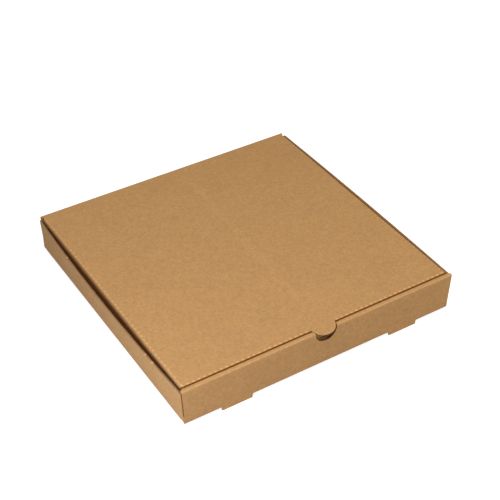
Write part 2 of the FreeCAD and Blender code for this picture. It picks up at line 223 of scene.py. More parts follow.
# Spacing of a blank's points: on flat panels, over creases, along cut edges and off them, and the arcs' steps
GRID = 7.0
WALL_GRID = 5.5
SADDLE_STEP = 0.5
CORNER_STEP = 0.6
LID_CREASE_STEP = 0.65
DENT_STEP = DENT_PITCH / 6
HINGE_GRID = 3.0
HINGE_STEP = 0.45
EDGE_STEP = 6.0
FLUTE_STEP = FLUTE_PITCH / 6
EDGE_CLEARANCE = 0.45
EDGE_CELL = 1.0
NOTCH_STEPS = 24
TAB_STEPS = 40

# Slack at a limit, which is also half a slit's width, and the length of a slit's pointed end
TOUCH = 0.05
SLIT_POINT = 0.15

# Edges that turn more than this stay sharp
SHARP_TURN = math.radians(40)

# Camera, found from the box's seven visible corners in the photograph, with its turn in degrees
CAMERA_PLACE = (-0.5043, -0.8219, 0.8050)
CAMERA_TURN = (51.4136, -0.0786, -32.1466)
CAMERA_SENSOR = 36
CAMERA_LENS = 85.15

# Floor, with the gap under the feet in millimetres, and surroundings
FLOOR_HALF = 6.0
FLOOR_GAP = 0.05
FLOOR_GREY = 0.5
FLOOR_GLOW = 0.86
WORLD_STRENGTH = 0.14


def follow(distance, folds):
    """Where a folded board's outer face is, and its outward normal, at a distance along it.

    The board starts level, heading along the first axis with its outer face down, and every
    fold turns it towards the second axis.
    """
    across = up = angle = 0.0
    left = distance
    for length, turn in folds:
        part = min(left, length)
        if turn and part > 0:
            radius = length / turn
            swept = angle + part / radius
            across += radius * (math.sin(swept) - math.sin(angle))
            up += radius * (math.cos(angle) - math.cos(swept))
            angle = swept
        else:
            across += part * math.cos(angle)
            up += part * math.sin(angle)
        left -= part
        if left <= 0:
            break
    across += max(left, 0) * math.cos(angle)
    up += max(left, 0) * math.sin(angle)
    return across, up, math.sin(angle), -math.cos(angle)


def on_foot(p, q):
    """Whether a place on the tray's blank is on a foot, which stays in line with the front panel."""
    past = -q - END_CREASE
    across = abs(abs(p) - FOOT_MIDDLE)
    return across < FOOT_HALF + TOUCH and FOOT_TIP - TOUCH < past < BASE_ARC


def lean(side, y, z):
    """How far a side wall stands outside its crease, at a place along it and a height."""
    rise = max(0.0, (z - BASE_BEND) / (WALL_TOP - BASE_BEND))
    bow = BOW[side] * max(0.0, 1 - (y / CORNER_CREASE) ** 2)
    return rise * (LEAN[side] + bow)


def tray_point(p, q, depth):
    """Folds the tray: a place on its blank, at a depth from the outer face, to its place in the box."""
    side = -1 if p < 0 else 1
    reach = abs(p) - SIDE_CREASE
    past = abs(q) - END_CREASE
    if on_foot(p, q):
        return Vector((p, FRONT + depth, BASE_BEND - BASE_ARC - q - END_CREASE))
    on_saddle = q < 0 and past > EAR_FOOT + TOUCH
    if past > 0 and abs(p) < (SADDLE_HALF if on_saddle else PANEL_TOP_HALF) + TOUCH:
        folds = FRONT_FOLDS if q < 0 else WALL_FOLDS
        out, up, out_normal, up_normal = follow(past, folds)
        y = END_CREASE + out - depth * out_normal
        return Vector((p, math.copysign(y, q), up - depth * up_normal))
    if reach <= 0:
        return Vector((p, q, depth))
    out, up, out_normal, up_normal = follow(reach, WALL_FOLDS)
    turned = abs(q) - CORNER_CREASE
    if turned <= 0 or reach <= BASE_ARC + TOUCH:
        x = SIDE_CREASE + out - depth * out_normal
        z = up - depth * up_normal
        return Vector((side * (x + lean(side, q, z)), q, z))
    along, inward, along_normal, inward_normal = follow(turned, CORNER_FOLDS)
    x = SIDE_CREASE + out - inward + depth * inward_normal
    y = CORNER_CREASE + along - depth * along_normal
    return Vector((side * (x + lean(side, q, up)), math.copysign(y, q), up))


def dent(distance, along, arc):
    """How far the dotted crease rule presses a lid crease in, at a place over and along it."""
    across = max(0.0, 1 - ((distance - arc * DENT_MIDDLE) / (arc * DENT_HALF)) ** 2)
    return DENT_DEPTH * across * (0.5 - 0.5 * math.cos(2 * math.pi * along / DENT_PITCH)) ** 2


def on_tab(p, q):
    """Whether a place on the lid's blank is on the thumb tab, which stays level."""
    return math.hypot(p - THUMB_X, q - TAB_Y) < TAB_RADIUS + TOUCH


def lid_point(p, q, depth):
    """Folds the lid, as tray_point folds the tray."""
    reach = abs(p) - LID_SIDE_CREASE
    past = LID_FRONT_CREASE - q
    if on_tab(p, q):
        return Vector((p, q, TOP - depth))
    if past > 0 and reach < TOUCH:
        depth += dent(past, p, LID_FRONT_ARC)
        out, down, out_normal, down_normal = follow(past, LID_FRONT_FOLDS)
        y = LID_FRONT_CREASE - out + depth * out_normal
        return Vector((p, y, TOP - down + depth * down_normal))
    if reach > 0:
        depth += dent(reach, q, LID_SIDE_ARC)
        out, down, out_normal, down_normal = follow(reach, LID_SIDE_FOLDS)
        x = LID_SIDE_CREASE + out - depth * out_normal
        return Vector((math.copysign(x, p), q, TOP - down + depth * down_normal))
    return Vector((p, q, TOP - depth))


def hinge_point(p, q, depth):
    """Folds the strip over the rear crease: q runs up the rear wall and on to the lid."""
    up, inward, up_normal, inward_normal = follow(q, HINGE_FOLDS)
    return Vector((p, REAR - inward + depth * inward_normal, REAR_TOP + up - depth * up_normal))


def arc_points(centre, radius, start, end, count):
    """Points of an arc, from one angle to another, in degrees."""
    angles = [math.radians(start + (end - start) * step / count) for step in range(count + 1)]
    return [(centre[0] + radius * math.cos(a), centre[1] + radius * math.sin(a)) for a in angles]


def mirrored(half):
    """A closed outline from its right half, listed from front to rear."""
    return half + [(-p, q) for p, q in reversed(half) if p > TOUCH]


def front_q(distance):
    """Place on the tray's blank at a distance past its front crease, over the roll-over front."""
    return -END_CREASE - distance


def front_panels():
    """Right edge of the roll-over front: locking tab, inner panel, the saddle's ear, outer panel."""
    lock_end = front_q(INNER_END + BOARD + FOLD_PLAY + LOCK_DROP)
    # The saddle's rounded ear as (inset from its end, distance over the front), and the outer panel's
    # flare as (width past its foot, share of its height)
    ear = (
        (2.2, SADDLE_END - 0.1),
        (1.1, SADDLE_END - 0.6),
        (0.3, SADDLE_FLAT + 0.2),
        (0.1, SADDLE_START + 1.2),
    )
    flare = ((1.2, 0.7), (0.5, 0.4), (0.0, 0.15))
    return [
        (0, front_q(INNER_END)),
        (FOOT_MIDDLE - LOCK_HALF, front_q(INNER_END)),
        (FOOT_MIDDLE - LOCK_HALF + LOCK_SLANT, lock_end),
        (FOOT_MIDDLE + LOCK_HALF - LOCK_SLANT, lock_end),
        (FOOT_MIDDLE + LOCK_HALF, front_q(INNER_END)),
        (INNER_HALF - 3, front_q(INNER_END)),
        (INNER_HALF, front_q(INNER_END - 5)),
        (INNER_HALF, front_q(INNER_START - 0.6)),
        *((SADDLE_HALF - inset, front_q(distance)) for inset, distance in ear),
        (PANEL_TOP_HALF, front_q(EAR_FOOT)),
        *((PANEL_HALF + wider, front_q(SADDLE_START * height)) for wider, height in flare),
    ]


def corner_flap(length):
    """A rear corner's slit and its flap with rounded corners, from the rear wall to the side wall's top."""
    crease_end = CORNER_CREASE + CORNER_ARC
    tip = crease_end + length - CORNER_BEND
    # The flap narrows a little past its crease, and the small numbers round off its two corners
    return [
        (PANEL_HALF, END_CREASE + TOUCH),
        (SIDE_CREASE + SLIT_POINT, END_CREASE + TOUCH),
        (SIDE_CREASE, END_CREASE),
        (SIDE_CREASE + SLIT_POINT, END_CREASE - TOUCH),
        (WALL_FOOT, END_CREASE - TOUCH),
        (WALL_FOOT + 0.6, CORNER_CREASE),
        (WALL_FOOT + 1, crease_end),
        (WALL_FOOT + 3, tip - 1),
        (WALL_FOOT + 5, tip),
        (WALL_EDGE - 5, tip),
        (WALL_EDGE - 1.6, tip - 3),
        (WALL_EDGE - 0.6, crease_end),
        (WALL_EDGE, CORNER_CREASE - 1),
    ]


def tray_outline():
    """Cut outline of the tray's blank."""
    front_corner = [(p, -q) for p, q in corner_flap(FRONT_CORNER_FLAP)]
    rear_corner = corner_flap(REAR_CORNER_FLAP)[::-1]
    rear_edge = END_CREASE + BASE_ARC + REAR_TOP - BASE_BEND
    rear_wall = [(PANEL_HALF, rear_edge), (0, rear_edge)]
    return mirrored(front_panels() + front_corner + rear_corner + rear_wall)


def notch_outline():
    """Thumb notch through the outer panel, the saddle and the inner panel."""
    inner = front_q(INNER_START) - (TOP - SADDLE_BACK_BEND - NOTCH_Z)
    seat_edge = THUMB_X + (TAB_RADIUS + SEAT_PLAY)
    lower = arc_points((THUMB_X, NOTCH_Q), NOTCH_RADIUS, 180, 0, NOTCH_STEPS)
    upper = arc_points((THUMB_X, inner), NOTCH_RADIUS, 0, -180, NOTCH_STEPS)
    right = [(seat_edge - SEAT_SLANT, front_q(SADDLE_FLAT)), (seat_edge, front_q(SADDLE_END))]
    left = [(2 * THUMB_X - p, q) for p, q in reversed(right)]
    return lower + right + upper + left


def foot_kerf(side):
    """Cut round a foot: the slot's edge on the base, and the foot's own edge."""
    middle = side * FOOT_MIDDLE
    top = front_q(BASE_ARC)
    tip = front_q(FOOT_TIP)
    slot_half = FOOT_HALF + FOOT_PLAY
    slot_end = tip + FOOT_GAP
    return [
        (middle - slot_half, top + 0.2),
        (middle - FOOT_HALF, top + 0.1),
        (middle - FOOT_HALF + FOOT_SLANT, tip),
        (middle + FOOT_HALF - FOOT_SLANT, tip),
        (middle + FOOT_HALF, top + 0.1),
        (middle + slot_half, top + 0.2),
        (middle + slot_half, slot_end),
        (middle - slot_half, slot_end),
    ]


def lid_outline():
    """Cut outline of the lid's blank."""
    flap_edge = LID_FRONT_CREASE - LID_FRONT_ARC - FRONT_FLAP
    side_fold = LID_SIDE_CREASE + LID_SIDE_ARC
    side_edge = side_fold + SIDE_FLAP
    side_front = LID_FRONT + SIDE_FLAP_FRONT
    side_rear = REAR - SIDE_FLAP_REAR
    rear_edge = LID_SIDE_CREASE + LID_SIDE_ARC * 0.45
    # The small numbers round off the corners of the front flap and the side flap
    half = [
        (0, flap_edge),
        (LID_SIDE_CREASE - 9, flap_edge),
        (LID_SIDE_CREASE - 4, flap_edge + 2),
        (LID_SIDE_CREASE - 1.5, flap_edge + 7),
        (LID_SIDE_CREASE, LID_FRONT_CREASE - LID_FRONT_ARC - 1),
        (LID_SIDE_CREASE, LID_FRONT_CREASE - TOUCH),
        (LID_SIDE_CREASE + 0.1, LID_FRONT_CREASE + 0.1),
        (side_fold, side_front),
        (side_edge - 6, side_front + SIDE_FLAP_TAPER - 1),
        (side_edge - 2, side_front + SIDE_FLAP_TAPER + 2),
        (side_edge, side_front + SIDE_FLAP_TAPER + 7),
        (side_edge, side_rear - SIDE_FLAP_TAPER - 7),
        (side_edge - 2, side_rear - SIDE_FLAP_TAPER - 2),
        (side_edge - 6, side_rear - SIDE_FLAP_TAPER + 1),
        (side_fold, side_rear),
        (rear_edge, side_rear + 0.4),
        (rear_edge, LID_REAR),
        (0, LID_REAR),
    ]
    return mirrored(half)


def tab_kerf():
    """Cut round the thumb tab, between the tab and the hole that it leaves in the flap."""
    rise = LID_FRONT_CREASE - TAB_Y
    hole_radius = TAB_RADIUS + TAB_KERF
    inner_end = math.degrees(math.asin(rise / TAB_RADIUS)) - 1
    outer_end = math.degrees(math.asin(rise / hole_radius)) - 1
    outer = arc_points((THUMB_X, TAB_Y), hole_radius, outer_end, -180 - outer_end, TAB_STEPS)
    inner = arc_points((THUMB_X, TAB_Y), TAB_RADIUS, -180 - inner_end, inner_end, TAB_STEPS)
    return outer + inner


def hinge_outline():
    """Cut outline of the strip over the rear crease."""
    crease_edge = (PANEL_HALF, HINGE_CREASE_END)
    lid_edge = (LID_SIDE_CREASE + 1.2, HINGE_LENGTH)
    return mirrored([(0, 0), (PANEL_HALF, 0), crease_edge, lid_edge, (0, HINGE_LENGTH)])


def divided(loop):
    """A loop with its long edges divided, more finely where they cross the flutes."""
    points = []
    for (p, q), (next_p, next_q) in zip(loop, loop[1:] + loop[:1]):
        run_p = next_p - p
        run_q = next_q - q
        count = math.ceil(max(abs(run_p) / EDGE_STEP, abs(run_q) / FLUTE_STEP, 1) - TOUCH)
        points += [(p + run_p * step / count, q + run_q * step / count) for step in range(count)]
    return points


def inside(place, loop):
    """Whether a place lies within a loop."""
    p, q = place
    hits = False
    for (p1, q1), (p2, q2) in zip(loop, loop[1:] + loop[:1]):
        if (q1 > q) != (q2 > q) and p < p1 + (q - q1) * (p2 - p1) / (q2 - q1):
            hits = not hits
    return hits


class Nearby:
    """Finds whether a place is close to the points of the cut edges."""

    def __init__(self, points):
        self.cells = {}
        for point in points:
            self.cells.setdefault(self.key(point), []).append(point)

    def key(self, point):
        """The square cell that a point lies in."""
        return (math.floor(point[0] / EDGE_CELL), math.floor(point[1] / EDGE_CELL))

    def close(self, place):
        """Whether any of the points lies within the clearance, which is less than a cell."""
        column, row = self.key(place)
        for i in (-1, 0, 1):
            for j in (-1, 0, 1):
                for point in self.cells.get((column + i, row + j), ()):
                    if math.dist(point, place) < EDGE_CLEARANCE:
                        return True
        return False


def triangulate(outline, holes, places):
    """Triangles of a blank: its outline and holes as cut edges, and places inside it."""
    loops = [divided(loop) for loop in [outline] + holes]
    edge_points = [point for loop in loops for point in loop]
    near = Nearby(edge_points)
    kept = []
    for place in places:
        if inside(place, outline) and not any(inside(place, hole) for hole in holes):
            if not near.close(place):
                kept.append(place)
    edges = []
    start = 0
    for loop in loops:
        count = len(loop)
        edges += [(start + i, start + (i + 1) % count) for i in range(count)]
        start += count
    points = [Vector(point) for point in edge_points + kept]
    triangles_inside = 1
    merge_distance = 1e-5
    verts, _, faces, _, _, _ = delaunay_2d_cdt(points, edges, [], triangles_inside, merge_distance)
    flat = [(vert.x, vert.y) for vert in verts]
    chosen = []
    for face in faces:
        middle = (sum(flat[i][0] for i in face) / 3, sum(flat[i][1] for i in face) / 3)
        if not any(inside(middle, hole) for hole in holes):
            chosen.append(tuple(face))
    return flat, chosen


def cut_edges(faces):
    """Directed edges that only one face uses, keyed by where they start."""
    sides = {(face[i], face[(i + 1) % 3]) for face in faces for i in range(3)}
    return {a: b for a, b in sides if (b, a) not in sides}


def medium_depth(q):
    """Depth of the middle of the fluted medium below the outer face."""
    swing = BOARD / 2 - LINER - MEDIUM / 2 - MEDIUM_GAP
    return BOARD / 2 + swing * math.sin(2 * math.pi * q / FLUTE_PITCH)


def flute_walk(place, middle, deep, deep_middle):
    """Across a cut edge: liner, hollow, fluted medium, hollow, liner, as (place, depth)."""
    half = MEDIUM / 2
    return [
        (place, LINER),
        (deep, LINER),
        (deep, deep_middle - half),
        (place, middle - half),
        (place, middle + half),
        (deep, deep_middle + half),
        (deep, BOARD - LINER),
        (place, BOARD - LINER),
    ]


def open_edges(flat, faces, verts, blank, point):
    """Adds the points of a sheet's open cut edges, and returns the faces between them."""
    following = cut_edges(faces)
    leading = {b: a for a, b in following.items()}
    columns = {}
    for here, ahead in following.items():
        before, place, after = (Vector(flat[i]) for i in (leading[here], here, ahead))
        run = (place - before).normalized() + (after - place).normalized()
        deep = place + Vector((-run.y, run.x)).normalized() * FLUTE_DEPTH
        column = [here]
        for spot, depth in flute_walk(place, medium_depth(place.y), deep, medium_depth(deep.y)):
            column.append(len(verts))
            verts.append(point(spot.x, spot.y, depth))
            blank.append((spot.x, spot.y, depth / BOARD))
        column.append(len(flat) + here)
        columns[here] = column
    strips = []
    for here, ahead in following.items():
        near, far = columns[here], columns[ahead]
        strips += [(near[row], near[row + 1], far[row + 1], far[row]) for row in range(len(near) - 1)]
    return strips


def add_layers(mesh, blank):
    """Stores each corner's place on the blank and its share of the board's depth as UV layers."""
    place_layer = mesh.uv_layers.new(name="blank")
    depth_layer = mesh.uv_layers.new(name="depth")
    for loop in mesh.loops:
        p, q, depth = blank[loop.vertex_index]
        place_layer.data[loop.index].uv = (p * MM, q * MM)
        depth_layer.data[loop.index].uv = (depth, 0)


def turn_outwards(mesh):
    """Turns a closed mesh's faces outwards if they all face inwards."""
    bm = bmesh.new()
    bm.from_mesh(mesh)
    if bm.calc_volume(signed=True) < 0:
        bmesh.ops.reverse_faces(bm, faces=bm.faces)
    bm.to_mesh(mesh)
    bm.free()


def build_sheet(name, outline, holes, places, point, materials):
    """A folded sheet of corrugated board as one closed mesh, open at its cut edges to the flutes."""
    flat, faces = triangulate(outline, holes, places)
    blank = [(p, q, 0) for p, q in flat] + [(p, q, 1) for p, q in flat]
    verts = [point(p, q, 0) for p, q in flat] + [point(p, q, BOARD) for p, q in flat]
    liners = faces + [tuple(len(flat) + i for i in reversed(face)) for face in faces]
    strips = open_edges(flat, faces, verts, blank, point)
    mesh = bpy.data.meshes.new(name)
    mesh.from_pydata([vert * MM for vert in verts], [], liners + strips)
    for material in materials:
        mesh.materials.append(material)
    mesh.polygons.foreach_set("material_index", [0] * len(liners) + [1] * len(strips))
    add_layers(mesh, blank)
    turn_outwards(mesh)
    mesh.shade_smooth()
    mesh.set_sharp_from_angle(angle=SHARP_TURN)
    sheet = bpy.data.objects.new(name, mesh)
    bpy.context.scene.collection.objects.link(sheet)
    return sheet


def steps(low, high, size):
    """Evenly spaced values between two limits, ends included."""
    count = max(1, round((high - low) / size))
    return [low + (high - low) * i / count for i in range(count + 1)]


def tray_places():
    """Inner points of the tray's blank, closer together over its creases."""
    columns = steps(-SIDE_CREASE, SIDE_CREASE, GRID)
    bend = [BASE_ARC * part for part in (0.25, 0.5, 0.75, 1)]
    wall = steps(BASE_ARC, BASE_ARC + WALL_TOP, WALL_GRID)[1:]
    outer = [SIDE_CREASE + reach for reach in bend + wall]
    columns += outer + [-column for column in outer]
    rows = steps(-END_CREASE, END_CREASE, GRID)
    front = bend + steps(BASE_ARC, SADDLE_START, GRID)[1:]
    front += steps(SADDLE_START, SADDLE_FLAT, SADDLE_STEP)[1:] + [(SADDLE_FLAT + SADDLE_END) / 2]
    front += steps(SADDLE_END, INNER_START, SADDLE_STEP) + steps(INNER_START, INNER_END, GRID)[1:]
    rear = bend + steps(BASE_ARC, BASE_ARC + TOP, GRID)[1:]
    rows += [front_q(distance) for distance in front]
    rows += [END_CREASE + distance for distance in rear]
    places = [(p, q) for p in columns for q in rows]
    walls = [p for p in columns if abs(p) > WALL_FOOT]
    corner = steps(0, CORNER_ARC, CORNER_STEP) + steps(CORNER_ARC, REAR_CORNER_FLAP, GRID)[1:]
    for reach in corner:
        places += [(p, end * (CORNER_CREASE + reach)) for p in walls for end in (-1, 1)]
    return places


def lid_places():
    """Inner points of the lid's blank, closest together along its dotted creases."""
    columns = steps(-LID_SIDE_CREASE, LID_SIDE_CREASE, GRID)
    flap = steps(LID_SIDE_ARC + 2, LID_SIDE_ARC + SIDE_FLAP, GRID)
    columns += [side * (LID_SIDE_CREASE + reach) for reach in flap for side in (-1, 1)]
    rows = steps(LID_FRONT_CREASE, LID_REAR, GRID)
    rows += [LID_FRONT_CREASE - reach for reach in flap]
    places = [(p, q) for p in columns for q in rows]
    for reach in steps(-1, LID_ARC + 1, LID_CREASE_STEP):
        for q in steps(LID_FRONT_CREASE, LID_REAR, DENT_STEP):
            places += [(side * (LID_SIDE_CREASE + reach), q) for side in (-1, 1)]
        across = steps(-LID_SIDE_CREASE, LID_SIDE_CREASE, DENT_STEP)
        places += [(p, LID_FRONT_CREASE - reach) for p in across]
    return places


def hinge_places():
    """Inner points of the strip over the rear crease."""
    across = steps(-LID_SIDE_CREASE, LID_SIDE_CREASE, HINGE_GRID)
    return [(p, q) for p in across for q in steps(0, HINGE_LENGTH, HINGE_STEP)]


def linear(red, green, blue):
    """A colour written in 8-bit sRGB, as linear values."""
    def channel(value):
        value /= 255
        return value / 12.92 if value <= 0.04045 else ((value + 0.055) / 1.055) ** 2.4
    return (*(channel(value) for value in (red, green, blue)), 1)


class Graph:
    """Adds nodes to a material and wires them up."""

    def __init__(self, name):
        self.material = bpy.data.materials.new(name)
        self.material.use_nodes = True
        self.tree = self.material.node_tree
        self.shader = self.tree.nodes["Principled BSDF"]

    def put(self, socket, value):
        """Link a socket to an output, or give it a plain value."""
        if isinstance(value, bpy.types.NodeSocket):
            self.tree.links.new(value, socket)
        else:
            socket.default_value = value

    def add(self, kind, inputs=None, output=0, **settings):
        """Add a node of a kind with its inputs and settings, and return one of its outputs."""
        node = self.tree.nodes.new(f"ShaderNode{kind}")
        for name, value in settings.items():
            setattr(node, name, value)
        for key, value in (inputs or {}).items():
            self.put(node.inputs[key], value)
        return node.outputs[output]

    def math(self, operation, *values):
        """Result of a Math node."""
        return self.add("Math", dict(enumerate(values)), operation=operation)

    def flat(self, p, q):
        """A place on the blank as a vector."""
        return self.add("CombineXYZ", {"X": p, "Y": q})

    def noise(self, vector, scale, detail, roughness):
        """Noise of about 0 to 1, with its scale in cycles per millimetre."""
        inputs = {"Vector": vector, "Scale": scale, "Detail": detail, "Roughness": roughness}
        return self.add("TexNoise", inputs)

    def stretched(self, vector, across, along):
        """Coordinates scaled by different amounts across and along the board."""
        return self.add("Mapping", {"Vector": vector, "Scale": (across, along, 1)})

    def swing(self, value, amount):
        """A 0 to 1 value as a variation about nothing, of the given size."""
        return self.math("MULTIPLY", self.math("SUBTRACT", value, 0.5), amount)

    def total(self, *values):
        """Sum of several values."""
        result = values[0]
        for value in values[1:]:
            result = self.math("ADD", result, value)
        return result

    def product(self, *values):
        """Product of several values."""
        result = values[0]
        for value in values[1:]:
            result = self.math("MULTIPLY", result, value)
        return result

    def mixed(self, share, first, second):
        """The first colour, with a share of the second in its place: a Mix node's colour sockets."""
        return self.add("Mix", {0: share, 6: first, 7: second}, output=2, data_type="RGBA")

    def ramp(self, value, start, end):
        """0 to 1 between a start and an end, in a straight line."""
        return self.add("MapRange", {"Value": value, "From Min": start, "From Max": end})

    def past(self, value, start, end):
        """0 before a start and 1 beyond an end, with a soft rise between, in either direction."""
        edges = {"Value": value, "From Min": start, "From Max": end}
        return self.add("MapRange", edges, interpolation_type="SMOOTHSTEP")

    def stretch(self, value, start, full, fading, end):
        """0 before a start, 1 from full to fading, and 0 again beyond an end."""
        return self.product(self.past(value, start, full), self.past(value, end, fading))

    def band(self, value, middle, half, soft):
        """1 where a value is within half of a middle, fading to 0 over a soft margin."""
        off = self.math("ABSOLUTE", self.math("SUBTRACT", value, middle))
        edges = {"Value": off, "From Min": half, "From Max": half + soft, "To Min": 1.0, "To Max": 0.0}
        return self.add("MapRange", edges, interpolation_type="SMOOTHSTEP")

    def wave(self, value, pitch):
        """0 to 1 and back along a value, once in each pitch."""
        turn = self.math("MULTIPLY", value, 2 * math.pi / pitch)
        return self.math("MULTIPLY_ADD", self.math("SINE", turn), 0.5, 0.5)

    def shade(self, tint, tone, deep):
        """Sets the surface's colour: a tint times a tone, with dark kraft painted in as shade for the share
        that is deep.
        """
        colour = self.add("VectorMath", {"Vector": tint, "Scale": tone}, operation="SCALE")
        if deep is not None:
            colour = self.mixed(deep, colour, linear(*PAINTED_SHADE_KRAFT))
        self.put(self.shader.inputs["Base Color"], colour)

    def emboss(self, height, strength, distance):
        """Sets the surface's relief, with its distance in millimetres."""
        bump = self.add("Bump", {"Height": height, "Strength": strength, "Distance": distance * MM})
        self.put(self.shader.inputs["Normal"], bump)


def blank_place(graph, seed):
    """A place on the blank in millimetres, as p, q and a vector shifted by a seed for noise."""
    uv = graph.add("UVMap", uv_map="blank")
    place = graph.add("VectorMath", {"Vector": uv, "Scale": 1 / MM}, operation="SCALE")
    parts = graph.add("SeparateXYZ", {"Vector": place})
    p, q = parts, parts.node.outputs["Y"]
    offset = [seed * shift for shift in SEED_SHIFT]
    shifted = graph.add("VectorMath", {0: place, 1: offset}, operation="ADD")
    return p, q, shifted


def board_depth(graph):
    """0 on the board's outer face and 1 on its inner face."""
    return graph.add("SeparateXYZ", {"Vector": graph.add("UVMap", uv_map="depth")})


def distance_from(graph, p, q, centre):
    """How far a place on the blank is from a centre."""
    places = {0: graph.flat(p, q), 1: (*centre, 0)}
    return graph.add("VectorMath", places, output="Value", operation="DISTANCE")


def kraft(name, seed, marks):
    """Uncoated kraft liner: clouds, fibres, flecks and a faint washboard from the flutes below."""
    graph = Graph(name)
    p, q, place = blank_place(graph, seed)
    clouds = graph.noise(place, 0.028, 3, 0.55)
    mottle = graph.noise(place, 0.16, 3, 0.6)
    cockle = graph.noise(place, 0.34, 2, 0.6)
    grain = graph.noise(place, 0.6, 3, 0.8)
    fibres = graph.noise(graph.stretched(place, 2.6, 0.5), 1.0, 4, 0.7)
    cross_fibres = graph.noise(graph.stretched(place, 0.6, 2.2), 1.0, 3, 0.65)
    specks = graph.noise(place, 1.9, 1, 0.5)
    washboard = graph.wave(q, FLUTE_PITCH)
    # The marks give lighter changes, some of them painted highlights, and the share that is painted shade
    changes, deep = marks(graph, p, q)
    tone = graph.total(
        1.0,
        graph.swing(clouds, 0.12),
        graph.swing(mottle, 0.24),
        graph.swing(cockle, 0.42),
        graph.swing(grain, 0.46),
        graph.swing(fibres, 0.22),
        graph.swing(cross_fibres, 0.12),
        graph.swing(washboard, 0.018),
        graph.math("MULTIPLY", graph.ramp(specks, 0.72, 0.8), -0.16),
        graph.math("MULTIPLY", graph.ramp(specks, 0.3, 0.22), 0.1),
        *changes,
    )
    warmer = [value + shift for value, shift in zip(KRAFT, WARM_SHIFT)]
    tint = graph.mixed(graph.ramp(mottle, 0.3, 0.7), linear(*KRAFT), linear(*warmer))
    graph.shade(tint, tone, deep)
    gloss = graph.total(0.74, graph.math("MULTIPLY", grain, 0.16))
    graph.put(graph.shader.inputs["Roughness"], gloss)
    graph.shader.inputs["Specular IOR Level"].default_value = 0.25
    height = graph.total(graph.math("MULTIPLY", fibres, 0.5), graph.math("MULTIPLY", grain, 0.6), washboard)
    graph.emboss(height, 0.6, 0.03)
    return graph.material


def edge_board(name, seed, marks):
    """Cut edge: raw paper with short torn fibres."""
    graph = Graph(name)
    p, q, place = blank_place(graph, seed)
    # The marks give lighter changes and the share of the cut edge that is painted shade
    changes, deep = marks(graph, p, q)
    grain = graph.noise(place, 2.4, 3, 0.7)
    patches = graph.noise(place, 0.3, 2, 0.5)
    tone = graph.total(1.0, graph.swing(grain, 0.5), graph.swing(patches, 0.2), *changes)
    graph.shade(linear(*CUT_EDGE)[:3], tone, deep)
    graph.shader.inputs["Roughness"].default_value = 0.9
    graph.shader.inputs["Specular IOR Level"].default_value = 0.15
    graph.emboss(grain, 0.7, 0.05)
    return graph.material


def no_marks(graph, p, q):
    """A plain stretch of board: nothing lighter, and nothing deep."""
    return [], None


def crease_dot_highlights(graph, across, middle, half, along):
    """A row of pale dots along a crease, between the cuts of the rule: partly crease-rule marks, partly a
    painted highlight where the crease's ridges catch light.
    """
    dots = graph.math("POWER", graph.wave(along, DENT_PITCH), 2.0)
    return graph.product(graph.band(across, middle, half, 0.4), dots)


def nicks(graph, p, q):
    """Small pale nicks in the left wall's cut top."""
    top = graph.past(graph.math("MULTIPLY", p, -1.0), WALL_EDGE - 1.6, WALL_EDGE - 0.8)
    return [graph.product(top, graph.band(q, place, length / 2, 0.4)) for place, length in NICKS]


def tray_marks(graph, p, q):
    """Wear along the front fold and nicks in the left wall's top, a painted highlight round the notch's rim,
    and painted shade in the tray's slits.
    """
    rub = graph.noise(graph.flat(p, q), 0.22, 3, 0.7)
    front_fold = graph.band(q, front_q(SADDLE_START) - 1.2, 0.8, 1.6)
    notch_off = distance_from(graph, p, q, (THUMB_X, NOTCH_Q))
    # Painted highlight along the notch's rim
    notch_rim_highlight = graph.band(notch_off, NOTCH_RADIUS + 0.2, 0.5, 0.5)
    changes = [
        graph.product(front_fold, rub, FOLD_RUB),
        graph.product(notch_rim_highlight, NOTCH_RIM_HIGHLIGHT),
        *nicks(graph, p, q),
    ]
    # Painted shade: the inner faces between the front panels, the left corner flap behind the front panel,
    # and the saddle's back fold
    forward = graph.math("MULTIPLY", q, -1.0)
    inner_face = graph.past(board_depth(graph), 0.3, 0.7)
    panel_foot = END_CREASE + BASE_ARC
    in_front = graph.past(forward, panel_foot + 2, panel_foot + 4)
    between_ends = graph.band(p, 0.0, INNER_HALF, 1.0)
    behind = graph.past(forward, CORNER_CREASE + CORNER_ARC * 0.3, CORNER_CREASE + CORNER_ARC * 0.6)
    left_flap = graph.band(p, -WALL_FOOT - 26, 18, 2)
    back_fold_shade = graph.band(q, front_q(INNER_START) - 0.6, 1.4, 0.8)
    deep = graph.total(
        graph.product(inner_face, in_front, between_ends, BETWEEN_PANELS_SHADE),
        graph.product(behind, left_flap, FRONT_CORNER_SHADE),
        graph.product(back_fold_shade, BACK_FOLD_SHADE),
    )
    return changes, deep


def rubbed_streak(graph, p, q):
    """The faint streak over the lid: patches of short pale bars where the flutes caught the rub."""
    (start_p, start_q), (end_p, end_q) = STREAK
    slope = (end_p - start_p) / (end_q - start_q)
    line = graph.math("MULTIPLY_ADD", q, slope, start_p - slope * start_q)
    on_line = graph.band(graph.math("SUBTRACT", p, line), 0, 2.4, 4.0)
    length = graph.band(q, (start_q + end_q) / 2, abs(end_q - start_q) / 2 - 12, 20)
    patches = graph.past(graph.noise(graph.flat(p, q), 0.3, 3, 0.8), 0.42, 0.66)
    ticks = graph.math("MULTIPLY_ADD", graph.wave(q, FLUTE_PITCH), 0.16, 0.03)
    return graph.product(on_line, length, patches, ticks)


